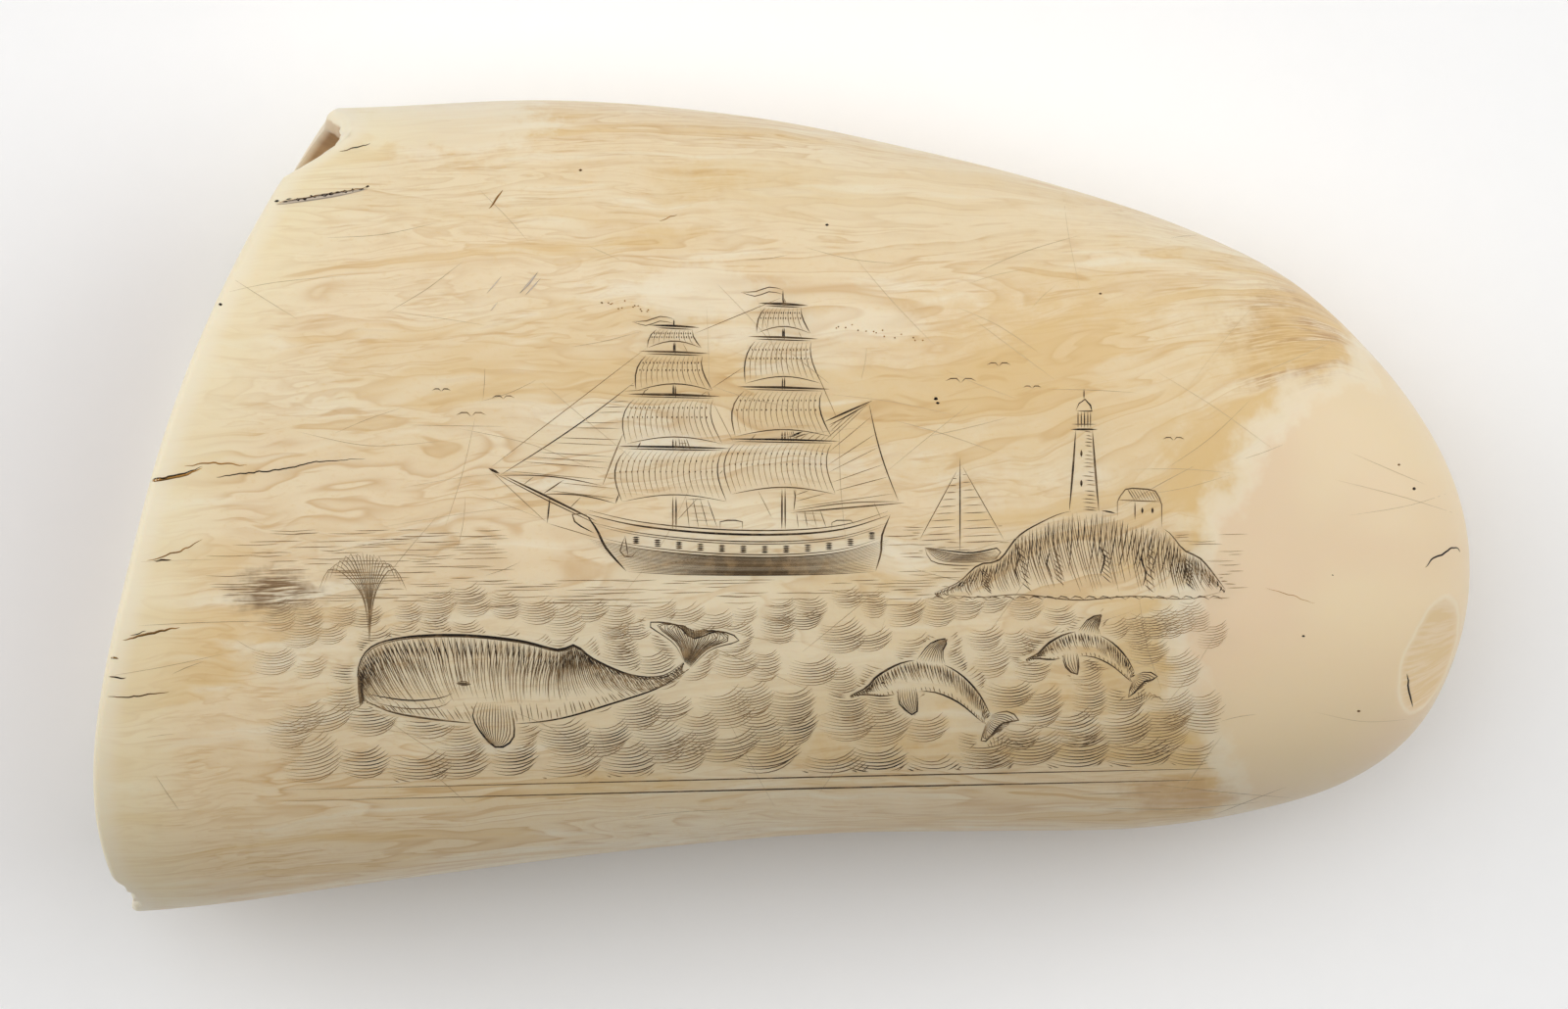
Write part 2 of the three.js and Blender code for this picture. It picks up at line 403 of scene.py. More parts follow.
def calculate(tree, operation, first, second=0.0, third=0.0):
    """Two or three numbers put together by one of the Math node's operations."""
    inputs = {0: first, 1: second, 2: third}
    return add_node(tree, "ShaderNodeMath", inputs, operation=operation).outputs[0]


def mix_colour(tree, share, under, over):
    """One colour laid over another by a share."""
    node = add_node(tree, "ShaderNodeMix", data_type="RGBA")
    for socket, value in ((node.inputs["Factor"], share), (node.inputs[6], under), (node.inputs[7], over)):
        if isinstance(value, bpy.types.NodeSocket):
            tree.links.new(value, socket)
        else:
            socket.default_value = value
    return node.outputs[2]


def new_material(name):
    """A new material, its node tree and its shader."""
    material = bpy.data.materials.new(name)
    material.use_nodes = True
    tree = material.node_tree
    return material, tree, tree.nodes["Principled BSDF"]


def contours(tree, level, bands, thinness):
    """The level lines of a noise: each is sharp at one side and fades away at the other."""
    step = calculate(tree, "FRACT", calculate(tree, "MULTIPLY", level, bands))
    fading = calculate(tree, "POWER", calculate(tree, "SUBTRACT", 1.0, step), thinness)
    return calculate(tree, "MULTIPLY", fading, between(tree, step, 0.0, 0.15))


def spot(tree, vector, rough, centre, reach, strength, full=0.25):
    """A soft-edged spot on the engraved side: full up to a share of its reach across and up, in
    millimetres, and nothing past it. Noise from 0 to 1 makes its outline ragged."""
    near = stretched(tree, vector, (1 / reach[0], 1 / reach[1], 0.02),
                     (-centre[0] / reach[0], -centre[1] / reach[1], -0.9))
    distance = add_node(tree, "ShaderNodeVectorMath", {0: near}, operation="LENGTH").outputs["Value"]
    distance = calculate(tree, "MULTIPLY_ADD", calculate(tree, "SUBTRACT", rough, 0.5), 1.2, distance)
    return between(tree, distance, 1.0, full, strength)


ivory, tree, shader = new_material("polished_ivory")
CREAM = srgb(233, 217, 184)
PALE = srgb(237, 226, 200)
PEACH = srgb(231, 210, 173)
OCHRE = srgb(219, 186, 127)
TAN = srgb(194, 148, 82)
PATCH_BROWN = srgb(184, 142, 92)
BROWN = srgb(128, 96, 56)
ORANGE_STAIN = srgb(186, 136, 74)
DENTINE = srgb(229, 204, 169)
# Partly the rim's own paler cream, partly painted light: a glow standing in for light through the thin rim.
PALE_RIM_AND_PAINTED_GLOW = srgb(238, 225, 188)
CAVITY_BROWN = srgb(170, 130, 84)
CAVITY_TAN = srgb(202, 166, 116)
RUBBED = srgb(158, 146, 120)

place = add_node(tree, "ShaderNodeTexCoord").outputs["Object"]
in_mm = stretched(tree, place, (1000, 1000, 1000))
grain = attribute(tree, "grain", "Vector")

# Broad areas of cream and peach, with ochre clouds. Thin wavy bands follow the outlines of the clouds,
# and finer ones lie between them. Both are stronger in some places than in others.
wave_noise = noise(tree, in_mm, (0.13, 0.17, 0.03), 1.0, 0.4)
sideways = calculate(tree, "MULTIPLY", calculate(tree, "SUBTRACT", wave_noise, 0.5), 2.8)
sideways = add_node(tree, "ShaderNodeCombineXYZ", {"Y": sideways}).outputs["Vector"]
wavy = add_node(tree, "ShaderNodeVectorMath", {0: grain, 1: sideways}, operation="ADD").outputs["Vector"]
broad = noise(tree, in_mm, (0.028, 0.05, 0.03), 2.0, 0.5, 0.4)
colour = mix_colour(tree, between(tree, broad, 0.35, 0.6), CREAM, PEACH)
clouds = noise(tree, wavy, (0.024, 0.12, 0.02), 3.0, 0.5, 0.8)
where = noise(tree, grain, (0.03, 0.08, 0.02), 2.0, 0.5, 0.4, (4.4, 9.1, 2.0))
colour = mix_colour(tree, between(tree, clouds, 0.46, 0.66, 0.7), colour, OCHRE)
strong = between(tree, where, 0.36, 0.6, 0.85)
banded = calculate(tree, "MULTIPLY", contours(tree, clouds, 11.0, 3.4), strong)
colour = mix_colour(tree, banded, colour, TAN)
fine = noise(tree, wavy, (0.05, 0.3, 0.04), 3.0, 0.5, 0.6, (2.6, 8.2, 1.1))
strong = between(tree, where, 0.62, 0.4, 0.42)
banded = calculate(tree, "MULTIPLY", contours(tree, fine, 8.0, 3.0), strong)
colour = mix_colour(tree, banded, colour, TAN)
colour = mix_colour(tree, between(tree, fine, 0.54, 0.72, 0.7), colour, PALE)

# Short darker dashes along the grain, and a fine mottle.
dashes = noise(tree, wavy, (0.12, 1.1, 0.05), 3.0, 0.6, shift=(3.1, 1.7, 0.4))
colour = mix_colour(tree, between(tree, dashes, 0.57, 0.73, 0.45), colour, TAN)
mottle = noise(tree, in_mm, (1.1, 2.2, 0.15), 3.0, 0.7)
colour = mix_colour(tree, between(tree, mottle, 0.5, 0.8, 0.4), colour, OCHRE)

# Marks of its own on the engraved side: more ochre at the right, paler along the convex edge and under
# the sea, three whitish patches, a streaky brown one by the tip, and a dark smudge with level streaks.
rough = noise(tree, in_mm, 0.35, 3.0, 0.65)
ochre_area = calculate(tree, "MULTIPLY", spot(tree, in_mm, rough, (32.0, 12.0), (32.0, 17.0), 1.0), broad)
colour = mix_colour(tree, ochre_area, colour, OCHRE)
for centre, reach, strength in (((20.0, 34.0), (55.0, 11.0), 0.5), ((-4.0, -18.0), (58.0, 15.0), 0.6)):
    colour = mix_colour(tree, spot(tree, in_mm, rough, centre, reach, strength), colour, CREAM)
for centre, reach, strength in (((-9.5, 23.0), (8.5, 3.8), 0.45), ((8.0, 19.5), (9.0, 2.2), 0.4),
                                ((-37.0, 42.0), (13.0, 5.5), 0.6)):
    colour = mix_colour(tree, spot(tree, in_mm, rough, centre, reach, strength, full=0.6), colour, PALE)
streaky = between(tree, noise(tree, grain, (0.25, 3.2, 0.1), 3.0, 0.6), 0.35, 0.58)
for centre, reach, strength, stain in (((55.0, 18.0), (10.0, 9.0), 0.95, PATCH_BROWN),
                                       ((-55.0, -9.4), (6.0, 3.2), 1.0, BROWN)):
    share = calculate(tree, "MULTIPLY", spot(tree, in_mm, rough, centre, reach, strength), streaky)
    colour = mix_colour(tree, share, colour, stain)

# The dentine of the tip, with ochre at the end of the cementum and the whitish line round it, and an
# orange stain at the end of the border.
wander = calculate(tree, "SUBTRACT", noise(tree, in_mm, 0.16, 4.0, 0.6), 0.5)
past = calculate(tree, "MULTIPLY_ADD", wander, 8.0, attribute(tree, "past_cementum"))
near_end = calculate(tree, "MULTIPLY", between(tree, past, -11.0, -1.5, 0.8), between(tree, fine, 0.4, 0.55))
colour = mix_colour(tree, near_end, colour, OCHRE)
colour = mix_colour(tree, spot(tree, in_mm, rough, (44.5, 3.0), (6.0, 9.0), 0.8), colour, OCHRE)
dentine = mix_colour(tree, between(tree, broad, 0.35, 0.65), DENTINE, PEACH)
colour = mix_colour(tree, between(tree, past, -0.6, 1.2), colour, dentine)
from_line = calculate(tree, "ABSOLUTE", past)
colour = mix_colour(tree, between(tree, from_line, 2.0, 0.2, 0.6), colour, PALE)
colour = mix_colour(tree, spot(tree, in_mm, rough, (43.0, -31.5), (9.0, 3.2), 0.5), colour, ORANGE_STAIN)

# The facet worn on the tip: streaky tan inside, and a faint pale ridge round it.
worn_away = calculate(tree, "MULTIPLY_ADD", wander, 0.5, attribute(tree, "worn_away"))
worn_colour = mix_colour(tree, streaky, DENTINE, OCHRE)
colour = mix_colour(tree, between(tree, worn_away, 0.02, 0.4, 0.6), colour, worn_colour)
from_ridge = calculate(tree, "ABSOLUTE", calculate(tree, "SUBTRACT", worn_away, 0.05))
colour = mix_colour(tree, between(tree, from_ridge, 0.12, 0.01, 0.4), colour, PALE)

# Pigment that was rubbed over the picture has stayed between its close cuts.
colour = mix_colour(tree, attribute(tree, "rubbed"), colour, RUBBED)

# The rim is thin and paler, and its colour also carries painted light. Past it the cavity is stained brown.
from_rim = attribute(tree, "from_rim")
# Painted light: cream that brightens the steep rim face and stands in for light shining through it.
colour = mix_colour(tree, between(tree, from_rim, 12.0, 1.0, 0.6), colour, PALE_RIM_AND_PAINTED_GLOW)
# A painted highlight: a pale line along the rim's rounded edge.
colour = mix_colour(tree, between(tree, from_rim, 2.5, 0.0, 0.8), colour, PALE)
stain = noise(tree, in_mm, (0.12, 0.3, 0.3), 4.0, 0.6)
inside = mix_colour(tree, between(tree, stain, 0.25, 0.75), CAVITY_BROWN, CAVITY_TAN)
colour = mix_colour(tree, attribute(tree, "in_cavity"), colour, inside)

# A soft hand polish: slightly uneven, with fine marks along the tooth.
hand_marks = noise(tree, in_mm, (0.25, 3.2, 0.1), 3.0, 0.6)
polish = calculate(tree, "MULTIPLY_ADD", hand_marks, 0.2, rough)
bump = add_node(tree, "ShaderNodeBump", {"Height": polish, "Strength": 0.1, "Distance": 0.05 * MM})
tree.links.new(colour, shader.inputs["Base Color"])
tree.links.new(bump.outputs["Normal"], shader.inputs["Normal"])
tree.links.new(calculate(tree, "MULTIPLY_ADD", polish, 0.25, 0.24), shader.inputs["Roughness"])
for name, value in {"IOR": 1.53, "Specular IOR Level": 0.35, "Subsurface Weight": 0.25,
                    "Subsurface Radius": (1.0, 0.75, 0.45), "Subsurface Scale": 2.5 * MM}.items():
    shader.inputs[name].default_value = value
tooth.data.materials.append(ivory)


# The engraved lines
# Scratched into the polished ivory with a needle and a knife point, then rubbed with lampblack. Each cut
# is a V-shaped groove full of pigment, made as a three-sided sliver that ends in a point at both ends.
CUT_PROUD = 0.012
CUT_DEPTH = 0.08
TAPER_EXPONENT = 0.6
TIP_TONE = 0.6
TRACE_STEP = 0.28
POINT_STEP = 0.9
SLOPE_STEP = 0.1

# How the surface under a cut is found: rounds of two kinds, and how much of the rim's rounding counts.
HALVINGS = 20
REACH_ROUNDS = 5
ROUNDING_FOLLOWED = 0.98

# One hand draws everything. Later lines stop at the outlines of what is drawn already.
hand = np.random.default_rng(41)
drawn_over = []


def surface_height(points):
    """The height of the engraved side over points of the picture's plane. It halves the stretch of
    stations that holds each point's section line, again and again, and reads the section there. Some
    rounds find the rim's reach at the point, which has to be known to tell on which side of the line it
    lies. The rim's rounding and the facet worn on the tip take away from the height."""
    points = points - to_place[:2]
    first, last = np.zeros(len(points)), np.ones(len(points))
    for _ in range(HALVINGS):
        station = (first + last) / 2
        middle, half = chord(station)
        moved = points - middle
        for _ in range(REACH_ROUNDS):
            share = np.clip((moved * half).sum(-1) / size(half) ** 2, -1, 1)
            reach = rim_reach(np.arccos(share)) * (1 - station) ** SKIN_FADE
            moved = points + np.stack([reach, np.zeros_like(reach)], axis=-1) - middle
        behind = half[:, 0] * moved[:, 1] - half[:, 1] * moved[:, 0]
        first, last = np.where(behind < 0, station, first), np.where(behind < 0, last, station)
    height = middle_height(middle[:, 0])
    height += half_thickness(station) * np.sqrt(1 - np.abs(share) ** SIDE_FLATNESS)
    past_rim = np.clip(behind / np.maximum(half[:, 1], 1e-6), 0, ROUNDING_FOLLOWED * RIM_ROUNDING)
    height -= RIM_ROUNDING - np.sqrt(RIM_ROUNDING**2 - past_rim**2)
    facet = (wear_plane - points @ WEAR_NORMAL[:2]) / WEAR_NORMAL[2]
    return np.minimum(height, facet) + to_place[2]


def even(points, step):
    """The same line with its points evenly spaced along it, about a step apart, and at least four."""
    along = np.append(0, np.cumsum(size(np.diff(points, axis=0))))
    at = np.linspace(0, along[-1], max(int(np.ceil(along[-1] / step)), 3) + 1)
    return np.stack([np.interp(at, along, points[:, k]) for k in (0, 1)], axis=-1)


def curve(*points):
    """A smooth line through chosen points."""
    points = np.array(points, float)
    shares = np.linspace(0, 1, 16 * len(points))
    return np.stack([through(points[:, k], shares) for k in (0, 1)], axis=-1)


def within(points, outline):
    """Which points lie inside a closed outline: a line from them to one side crosses it oddly often."""
    x, y = points[:, :1], points[:, 1:]
    (x0, y0), (x1, y1) = outline.T, np.roll(outline, -1, axis=0).T
    rises = np.where(y1 == y0, 1e-9, y1 - y0)
    crossings = ((y0 > y) != (y1 > y)) & (x < x0 + (y - y0) * (x1 - x0) / rises)
    return crossings.sum(axis=1) % 2 == 1


def cut(cuts, line, width=0.14, tone=0.8, inside=None, halo=0.0, heavy=0.5, step=POINT_STEP):
    """Adds a cut line, without the stretches that lie under what is drawn already, or nearer to it than
    the halo, or outside an outline. The width, in millimetres, and the tone, from light brown to black,
    vary a little as by hand. Heavy is the share of the way along at which the cut is widest, and step
    is the distance between its points."""
    line = even(np.asarray(line, float), TRACE_STEP)
    seen = np.ones(len(line), bool) if inside is None else within(line, inside)
    for outline in drawn_over:
        far_off = (line.min(0) > outline.max(0) + halo) | (line.max(0) < outline.min(0) - halo)
        if far_off.any():
            continue
        seen &= ~within(line, outline)
        if halo:
            seen &= size(line[:, None] - outline[None]).min(axis=1) > halo
    ends = np.flatnonzero(np.diff(np.concatenate([[False], seen, [False]]).astype(int))).reshape(-1, 2)
    for start, stop in ends:
        if stop - start >= 3:
            vary = hand.uniform(0.8, 1.2, 2)
            cuts.append((even(line[start:stop], step), width * vary[0], tone * vary[1], heavy))


def rungs(cuts, one, other, spacing, stop, lean=0.0, bulge=0.0, ragged=0.1, **pen):
    """Lines from one curve towards another, evenly spaced along both, which stop at a share of the way.
    They lean along the curves by a share of their length and bulge sideways, in millimetres."""
    count = max(int(size(np.diff(one, axis=0)).sum() / spacing), 2)
    for along in (np.arange(count) + 0.5) / count:
        near = one[round(along * (len(one) - 1))]
        far = other[round(np.clip(along + lean, 0, 1) * (len(other) - 1))]
        ends = hand.uniform(0, ragged) / 4, stop - hand.uniform(0, ragged)
        shares = np.linspace(*ends, 9)[:, None]
        side = np.array([near[1] - far[1], far[0] - near[0]]) / size(far - near)
        cut(cuts, near + (far - near) * shares + side * bulge * np.sin(np.pi * shares), **pen)


def stripes(cuts, one, other, spacing, start, stop, **pen):
    """Lines that run along two curves, at even shares of the way from one to the other."""
    shares = np.linspace(0, 1, 40)
    one, other = (line[np.round(shares * (len(line) - 1)).astype(int)] for line in (one, other))
    count = max(int(size(other - one).max() * (stop - start) / spacing), 1)
    for share in np.linspace(start, stop, count + 1):
        cut(cuts, mix(one, other, share), **pen)


def two_sides(outline, turn=None):
    """Both sides of a closed outline, each from its start to the point where it turns back. That is
    half way along it, if nothing else is said."""
    turn = turn or len(outline) // 2
    return outline[:turn], outline[: turn - 1 : -1]


def cover(*lines):
    """Hides what is drawn later inside the outline that the lines make when joined end to end."""
    drawn_over.append(even(np.concatenate(lines), 0.5))


def grooves(name, cuts, material):
    """A piece made of cut lines. Each point of a line gets a left, a right and a bottom point: across
    the line by half its width, which tapers to both ends, a little proud of the ivory, and under it."""
    line = np.concatenate([points for points, _, _, _ in cuts])
    counts = np.array([len(points) for points, _, _, _ in cuts])
    width, tone, heavy = (np.repeat(values, counts) for values in np.array([cut[1:] for cut in cuts]).T)
    starts = np.cumsum(counts) - counts
    ends = starts + counts - 1
    step = np.arange(len(line)) - np.repeat(starts, counts)
    share = step / (np.repeat(counts, counts) - 1)
    forward = np.gradient(line, axis=0)
    forward[starts] = line[starts + 1] - line[starts]
    forward[ends] = line[ends] - line[ends - 1]
    across = np.stack([-forward[:, 1], forward[:, 0]], axis=-1) / size(forward)[:, None]
    taper = np.abs(np.sin(np.pi * share ** (np.log(0.5) / np.log(heavy)))) ** TAPER_EXPONENT
    height = surface_height(line)
    slope = [(surface_height(line + np.eye(2)[k] * SLOPE_STEP) - height) / SLOPE_STEP for k in (0, 1)]
    normal = np.stack([-slope[0], -slope[1], np.ones(len(line))], axis=-1)
    normal /= size(normal)[:, None]
    sides = []
    for sign in (1, -1):
        place = line + across * (sign * width / 2 * taper)[:, None]
        sides.append(np.column_stack([place, surface_height(place)]) + normal * CUT_PROUD)
    left, right = sides
    bottom = np.column_stack([line, height]) - normal * (CUT_DEPTH * taper)[:, None]
    is_tip = np.zeros(len(line), bool)
    is_tip[starts] = is_tip[ends] = True
    left[is_tip] = (np.column_stack([line, height]) + normal * CUT_PROUD)[is_tip]

    # The mesh holds all left points, then the right ones and the bottom ones. Both ends of a line are
    # tips, which use their left point alone. Quads join its inner points, and triangles reach its tips.
    total = len(line)
    lefts, rights, bottoms = (np.arange(total) + k * total for k in range(3))
    inner = np.flatnonzero(~is_tip & ~np.roll(is_tip, -1))
    after = inner + 1
    quads = [(lefts[inner], rights[inner], rights[after], lefts[after]),
             (rights[inner], bottoms[inner], bottoms[after], rights[after]),
             (lefts[inner], lefts[after], bottoms[after], bottoms[inner])]
    walls = [(lefts, rights), (rights, bottoms), (bottoms, lefts)]
    triangles = [(lefts[starts], other[starts + 1], one[starts + 1]) for one, other in walls]
    triangles += [(one[ends - 1], other[ends - 1], lefts[ends]) for one, other in walls]
    used = np.ones(3 * total, bool)
    used[rights[is_tip]] = used[bottoms[is_tip]] = False
    renumber = np.cumsum(used) - 1
    faces = [renumber[np.stack(face, axis=-1)] for face in quads + triangles]
    piece = new_mesh(name, np.concatenate([left, right, bottom])[used], *faces)
    add_attribute(piece, "tone", np.tile(tone * mix(TIP_TONE, 1, taper), 3)[used])
    piece.data.materials.append(material)
    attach(piece, "root")


def pigment(name, light, dark):
    """What fills cuts: a light colour where the tone is low and a dark one where it is high, worn out
    in places."""
    material, tree, shader = new_material(name)
    place = add_node(tree, "ShaderNodeTexCoord").outputs["Object"]
    worn = noise(tree, stretched(tree, place, (1000, 1000, 1000)), 0.7, 3.0, 0.6)
    share = calculate(tree, "SUBTRACT", attribute(tree, "tone"), between(tree, worn, 0.45, 0.75, 0.45))
    tree.links.new(mix_colour(tree, share, light, dark), shader.inputs["Base Color"])
    shader.inputs["Roughness"].default_value = 0.6
    shader.inputs["Specular IOR Level"].default_value = 0.2
    return material


lampblack = pigment("lampblack", srgb(164, 134, 94), srgb(34, 26, 20))


# A spouting whale
# It swims to the left in the foreground. Its back is shaded with close curved cuts from the spine down,
# crossed by others along the belly, and its flukes stand out of the water behind it.
whale = []
WHALE_PLACE = np.array([5.0, -0.6])


def by_whale(*points):
    """A smooth line through points that are measured from the whale's own place."""
    return curve(*(np.array(point) + WHALE_PLACE for point in points))


back = by_whale((-50.6, -20.2), (-51.2, -17.2), (-49.8, -14.6), (-46, -13.5), (-40, -13.3), (-34, -13.9),
                (-29.8, -14.9), (-28, -14.4), (-26, -15.9), (-22, -17.6), (-18.6, -17.7), (-16.3, -16.2))
belly = by_whale((-50.6, -20.2), (-47.5, -21.6), (-42, -22.5), (-36, -22.9), (-30, -22.4), (-24, -20.7),
                 (-19, -19.0), (-15.6, -16.9))
flukes = by_whale((-16.3, -16.2), (-17.4, -14.2), (-20.2, -12.1), (-17.2, -12.2), (-15.3, -13.7),
                  (-12.6, -12.9), (-10.3, -13.9), (-13.4, -14.9), (-15.6, -16.9))
flipper = by_whale((-38.4, -20.4), (-38.9, -22.4), (-36.6, -25.4), (-34.6, -24.3), (-34.9, -20.9))
cut(whale, flipper, 0.18, 1.0)
stripes(whale, *two_sides(flipper), 0.33, 0.1, 0.9, width=0.09, tone=0.7)
cover(flipper)
cut(whale, back, 0.24, 1.0)
cut(whale, back + [0.1, -0.18], 0.16, 0.9)
cut(whale, belly, 0.18, 0.9)
cut(whale, flukes, 0.2, 1.0)
cut(whale, by_whale((-50.3, -19.6), (-46, -20.3), (-42.6, -20.1), (-41, -19.5)), 0.16, 0.95)
cut(whale, by_whale((-49.6, -20.5), (-46, -21.2), (-42.4, -21.0), (-41.2, -20.2)), 0.1, 0.7)
for lift, width in ((0.28, 0.12), (0.0, 0.2), (-0.22, 0.1)):
    cut(whale, by_whale((-40.7, -18.5), (-39.9, -18.5 + lift), (-39.1, -18.6)), width, 1.0)
rungs(whale, back, belly, 0.26, 0.8, lean=0.02, bulge=-0.9, ragged=0.2, width=0.08, tone=0.5)
rungs(whale, back, belly, 0.34, 0.55, lean=0.03, bulge=-0.6, ragged=0.15, width=0.1, tone=0.75)
rungs(whale, back, belly, 0.42, 0.34, lean=0.04, bulge=-0.3, ragged=0.12, width=0.14, tone=1.0)
rungs(whale, belly, back, 0.45, 0.26, lean=-0.04, bulge=0.3, ragged=0.12, width=0.09, tone=0.6)
stripes(whale, *two_sides(flukes, 70), 0.3, 0.1, 0.9, width=0.1, tone=0.8)
for share in np.linspace(-1, 1, 17):
    crest = (-50.6 + 3.2 * share, -4.4 - 1.7 * share**2)
    fall = (crest[0] + 1.5 * share, crest[1] - 0.8 - 1.6 * abs(share))
    plume = by_whale((-49.9, -14.1), (-50.0 + 0.7 * share, -9.0), crest, fall)
    cut(whale, plume[hand.integers(0, 22):], 0.09, 0.65)
cover(back, belly[::-1])
cover(flukes)


# Two dolphins
# They leap to the left in the right foreground, one behind the other, dark above and plain below.
def dolphin(cuts, place, scale):
    """One dolphin: two curves from beak to tail, with fins, flukes, a shaded back and spray."""
    def at(*points):
        return curve(*(np.array(point) * scale + place for point in points))

    spine = at((0, 0), (1.6, 0.75), (2.7, 1.9), (5, 3.1), (7.5, 3.3), (10, 2.3), (12, 0.4), (13.3, -1.9))
    throat = at((0, 0), (1.7, 0.1), (3.2, -0.05), (5.6, 0.3), (8, 0.3), (10.3, -0.7), (12, -2.1),
                (12.8, -2.8))
    fin = at((6.3, 3.3), (7.6, 4.9), (9.2, 5.3), (8.7, 4.0), (9.0, 2.9))
    tail = at((13.3, -1.9), (14.8, -1.5), (16, -2.3), (14.3, -2.7), (13.3, -3.9), (12.4, -4.6),
              (12.8, -2.8))
    side_fin = at((4.6, 0.7), (4.7, -0.8), (6.2, -1.9), (6.4, -0.4), (6.2, 0.8))
    for shape in (side_fin, fin, tail):
        cut(cuts, shape, 0.17, 1.0)
        stripes(cuts, *two_sides(shape), 0.28, 0.1, 0.9, width=0.09, tone=0.8)
        cover(shape)
    cut(cuts, spine, 0.22, 1.0)
    cut(cuts, throat, 0.16, 0.9)
    cut(cuts, at((0.2, 0.05), (1.5, 0.4), (2.6, 0.45)), 0.1, 0.8)
    cut(cuts, at((2.9, 1.1), (3.15, 1.25), (3.4, 1.1)), 0.18, 1.0)
    rungs(cuts, spine, throat, 0.25, 0.75, lean=0.04, bulge=-0.3, ragged=0.3, width=0.08, tone=0.6)
    rungs(cuts, spine, throat, 0.33, 0.5, lean=0.05, bulge=-0.2, ragged=0.2, width=0.12, tone=0.95)
    rungs(cuts, throat, spine, 0.4, 0.2, lean=-0.03, ragged=0.08, width=0.08, tone=0.6)
    cover(spine, throat[::-1])
    for share in np.linspace(-1, 1, 9):
        spray = at((14.0 + share, -5.0), (14.0 + 1.8 * share, -3.9 - 0.5 * share**2),
                   (14.0 + 2.7 * share, -4.3 - 0.8 * share**2))
        cut(cuts, spray, 0.08, 0.6, halo=0.2)


dolphins = []
dolphin(dolphins, np.array([6.5, -20.5]), 1.15)
dolphin(dolphins, np.array([25.5, -16.6]), 0.9)


# The brig
# A two-masted square-rigged ship, which sails to the left with the wind behind it. Its hull is fully
# drawn, its masts and yards are heavy cuts, and its sails and stays are fine ones.
brig = []
rail = curve((-21.8, -0.9), (-16, -2.2), (-8, -3.0), (0, -3.1), (6, -2.5), (10.9, -1.0))
water_line = curve((-17.4, -7.1), (-12, -7.4), (-4, -7.5), (4, -7.4), (9.3, -7.1))
bow = curve((-21.8, -0.9), (-20.6, -2.6), (-19.6, -4.6), (-17.4, -7.1))
stern = curve((9.3, -7.1), (9.9, -5.0), (10.0, -3.2), (10.9, -1.0))
mast_feet = {"fore": -12.3, "main": -0.6}
mast_tops = {"fore": 20.0, "main": 23.2}


def yard(x, y, span):
    """A yard: a heavy cut, a little higher at its left end, with a lighter one under it."""
    cut(brig, [(x - span / 2 - 0.7, y + 0.15), (x, y + 0.08), (x + span / 2 + 0.7, y - 0.1)], 0.24, 1.0)
    cut(brig, [(x - span / 2, y - 0.12), (x + span / 2, y - 0.3)], 0.12, 0.9)


def square_sail(x, top, foot, head_span, foot_span, belly):
    """A square sail between two yards: both sides bulge to the left and its foot curves up. Fine cuts
    follow its cloths from head to foot, and dots its reef bands."""
    steps = 30
    hollow = 0.75
    down = np.linspace(0, 1, steps)
    spans = mix(head_span, foot_span, down)
    push = -belly * np.sin(np.pi * down**0.8)
    left = np.column_stack([x - spans / 2 + push, mix(top, foot, down)])
    right = np.column_stack([x + spans / 2 + push * 0.75, mix(top, foot, down)])
    bottom = np.column_stack([mix(left[-1, 0], right[-1, 0], down), foot + hollow * np.sin(np.pi * down)])
    head = np.column_stack([mix(left[0, 0], right[0, 0], down), np.full(steps, top)])
    for edge_line in (left, right, bottom):
        cut(brig, edge_line, 0.13, 0.85)
    count = int(foot_span / 0.62)
    for share in np.arange(1, count) / count:
        stop = 1 - hollow * np.sin(np.pi * share) / (top - foot)
        line = mix(left, right, share)[: max(int(stop * steps), 4)]
        cut(brig, line, 0.07, 0.35 + 0.35 * share**3)
    for band in (0.22, 0.42):
        at_band = round(band * (steps - 1))
        row = mix(left[at_band], right[at_band], np.linspace(0.05, 0.95, 17)[:, None])
        for dot in row:
            cut(brig, dot + np.array([[0, 0.12], [0.02, 0.0], [0, -0.14]]), 0.12, 0.8)
    cover(head, right, bottom[::-1], left[::-1])


# Four yards and four sails on each mast. The main mast's upper ones are lifted, because it is taller.
for mast, lift in (("fore", 0.0), ("main", 1.6)):
    x = mast_feet[mast]
    for y, span in ((6.2, 10.6), (11.8, 8.6), (16.4 + lift / 2, 6.2), (19.2 + lift, 4.0)):
        yard(x, y + lift / 2, span)
    square_sail(x, 18.9 + 1.5 * lift, 16.9 + lift, 3.8, 5.8, 0.35)
    square_sail(x, 16.1 + lift, 12.3 + lift / 2, 6.0, 8.2, 0.6)
    square_sail(x, 11.5 + lift / 2, 6.6 + lift / 2, 8.4, 10.3, 0.9)
    square_sail(x, 5.9 + lift / 2, 0.4 + lift / 2, 10.4, 11.2, 1.0)


def fore_and_aft_sail(corners, hollow, folds):
    """A sail of three or four corners whose sides are slightly hollow, with cuts from head to foot."""
    corners = np.array(corners, float)
    along = np.linspace(0, 1, 24)[:, None]
    sides = []
    for corner, after in zip(corners, np.roll(corners, -1, axis=0)):
        out = np.array([after[1] - corner[1], corner[0] - after[0]]) / size(after - corner)
        sides.append(corner + (after - corner) * along - out * hollow * np.sin(np.pi * along))
        cut(brig, sides[-1], 0.12, 0.85)
    near, far = sides[0], np.concatenate(sides[2:])[::-1]
    for share in (np.arange(folds) + 0.6) / folds:
        fold = [near[int(share * (len(near) - 1))], far[int(share * (len(far) - 1))]]
        cut(brig, fold, 0.07, 0.3 + 0.3 * share)
    cover(*sides)


